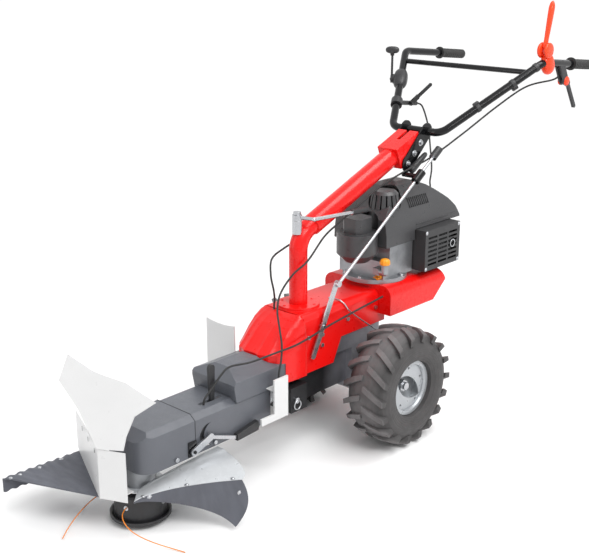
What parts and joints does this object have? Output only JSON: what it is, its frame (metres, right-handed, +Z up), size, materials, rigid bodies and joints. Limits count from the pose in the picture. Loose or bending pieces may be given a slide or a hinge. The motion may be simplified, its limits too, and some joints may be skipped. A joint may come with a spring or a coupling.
{
  "type": "wheeled string trimmer",
  "caption": "Two-wheeled walking tractor with an engine, tiller handlebar and a front string trimmer unit under covers, guards and rubber skirts.",
  "frame": {"origin": "on the ground at the centre of the glide cup, under the trimmer spindle", "axes": "+Y runs back along the machine to the grips, +Z is up, +X is the operator side on the left of a machine moving forward"},
  "size_m": [0.5998, 2.1424, 1.3469],
  "materials": {
    "black_plastic": "moulded",
    "line_nylon": "smooth",
    "steel": "zinc plated",
    "cast_alloy": "as cast",
    "slate_plastic": "fine texture",
    "galvanised": "satin",
    "skirt_rubber": "matte",
    "white_paint": "satin",
    "red_plastic": "gloss",
    "red_paint": "gloss",
    "rim_paint": "satin",
    "tyre_rubber": "matte",
    "black_paint": "gloss",
    "grip_rubber": "ribbed",
    "orange_plastic": "smooth",
    "amber_plastic": "smooth",
    "engine_black": "fine texture",
    "muffler_steel": "heat paint"
  },
  "bodies": {
    "chassis": {"gear_housing": "cast_alloy", "shaft_tube": "galvanised", "bearings": "steel", "front_cover": "slate_plastic", "rear_cover": "slate_plastic", "hump_cover": "slate_plastic", "deck": "galvanised", "left_skirt": "skirt_rubber", "right_flap": "skirt_rubber", "front_guard": "white_paint", "guard_wing": "white_paint", "wheel_shield": "white_paint", "latch_base": "black_paint", "coupling_bracket": "white_paint", "casing_nose": "red_plastic", "casing_body": "red_plastic", "engine_tray": "red_paint", "gearbox": "cast_alloy", "screws": "steel", "column": "red_paint", "swivel_clamp": "steel", "clamp_plates": "black_paint", "control_cables": "grip_rubber", "crankcase": "cast_alloy", "engine_cowl": "engine_black", "recoil_cover": "engine_black", "air_cleaner": "engine_black", "muffler_guard": "muffler_steel"},
    "head": {"glide_cup": "black_plastic", "line_drum": "black_plastic", "eyelets": "steel", "trimmer_line_left": "line_nylon", "trimmer_line_right": "line_nylon", "spindle": "steel"},
    "drive": {"drive_shaft": "steel"},
    "wheels": {"axle": "steel", "left_rim": "rim_paint", "right_rim": "rim_paint", "left_tyre": "tyre_rubber", "right_tyre": "tyre_rubber"},
    "latch": {"latch_lever": "steel"},
    "engage": {"engage_lever": "black_plastic"},
    "pin": {"ring_pin": "steel"},
    "swivel": {"swivel_lever": "steel"},
    "handlebar": {"handlebar_stem": "black_paint", "left_arm": "black_paint", "right_arm": "black_paint", "cross_tube": "black_paint", "left_grip": "grip_rubber", "right_grip": "grip_rubber", "left_controls": "orange_plastic", "right_controls": "black_plastic"},
    "safety": {"safety_lever": "orange_plastic"},
    "drive_hand": {"drive_lever": "black_plastic"},
    "throttle": {"throttle_lever": "black_plastic"},
    "clutch": {"clutch_lever": "black_paint"},
    "shift": {"gear_lever": "steel"},
    "shift_rod": {"gear_rod": "steel"},
    "cap": {"oil_cap": "amber_plastic"},
    "plug": {"oil_plug": "amber_plastic"}
  },
  "joints": [
    {"name": "head_spin", "type": "hinge", "parent": "chassis", "child": "head", "pos_m": [0, 0, 0.06], "axis": [0, 0, 1], "continuous": true},
    {"name": "drive_spin", "type": "hinge", "parent": "chassis", "child": "drive", "pos_m": [0, 0.3, 0.215], "axis": [0, 1, 0], "continuous": true},
    {"name": "wheel_spin", "type": "hinge", "parent": "chassis", "child": "wheels", "pos_m": [0, 0.875, 0.1905], "axis": [1, 0, 0], "continuous": true},
    {"name": "latch_open", "type": "hinge", "parent": "chassis", "child": "latch", "pos_m": [0.099, 0.118, 0.188], "axis": [1, 0, 0], "range_deg": [0, 100]},
    {"name": "engage_tilt", "type": "hinge", "parent": "chassis", "child": "engage", "pos_m": [0.036, 0.244, 0.2706], "axis": [1, 0, 0], "range_deg": [-12, 12]},
    {"name": "pin_pull", "type": "slide", "parent": "chassis", "child": "pin", "axis": [1, 0, 0], "range_m": [0, 0.045]},
    {"name": "swivel_lock", "type": "hinge", "parent": "chassis", "child": "swivel", "pos_m": [0, 0.642, 0.741], "axis": [0, 0, -1], "range_deg": [0, 60]},
    {"name": "handlebar_tilt", "type": "hinge", "parent": "chassis", "child": "handlebar", "pos_m": [0, 1.226, 0.932], "axis": [1, 0, 0], "range_deg": [-10, 10], "deforming": ["control_cables"]},
    {"name": "safety_press", "type": "hinge", "parent": "handlebar", "child": "safety", "pos_m": [0.28356, 1.536, 1.20296], "axis": [-1, 0, 0], "range_deg": [0, 60], "stiffness_Nm_per_rad": 0.6},
    {"name": "drive_squeeze", "type": "hinge", "parent": "handlebar", "child": "drive_hand", "pos_m": [0.27708, 1.686, 1.07585], "axis": [1, 0, 0], "range_deg": [0, 35], "stiffness_Nm_per_rad": 0.8, "springref_deg": -11.46},
    {"name": "throttle_turn", "type": "hinge", "parent": "handlebar", "child": "throttle", "pos_m": [-0.24372, 1.39239, 1.06498], "axis": [-0.8555, -0.5178, 0], "range_deg": [-35, 35]},
    {"name": "clutch_squeeze", "type": "hinge", "parent": "handlebar", "child": "clutch", "pos_m": [-0.1552, 1.3844, 0.989], "axis": [1, 0, 0], "range_deg": [0, 25], "stiffness_Nm_per_rad": 0.8, "springref_deg": -11.46},
    {"name": "gear_shift", "type": "hinge", "parent": "chassis", "child": "shift", "pos_m": [0.0995, 0.654, 0.413], "axis": [1, 0, 0], "range_deg": [-8, 8]},
    {"name": "rod_pivot", "type": "hinge", "parent": "shift", "child": "shift_rod", "pos_m": [0.1074, 0.712, 0.537], "axis": [1, 0, 0], "range_deg": [-10.5, 10.5]},
    {"name": "cap_turn", "type": "hinge", "parent": "chassis", "child": "cap", "pos_m": [0.118, 0.925, 0.555], "axis": [0, 0, 1], "range_deg": [0, 360]},
    {"name": "plug_turn", "type": "hinge", "parent": "chassis", "child": "plug", "pos_m": [0.084, 0.936, 0.502], "axis": [0, -1, 0], "range_deg": [0, 360]}
  ],
  "couplings": [
    {"joint": "drive_spin", "follows": "head_spin", "ratio": 1.5652},
    {"joint": "rod_pivot", "follows": "gear_shift", "ratio": -1.2494}
  ]
}
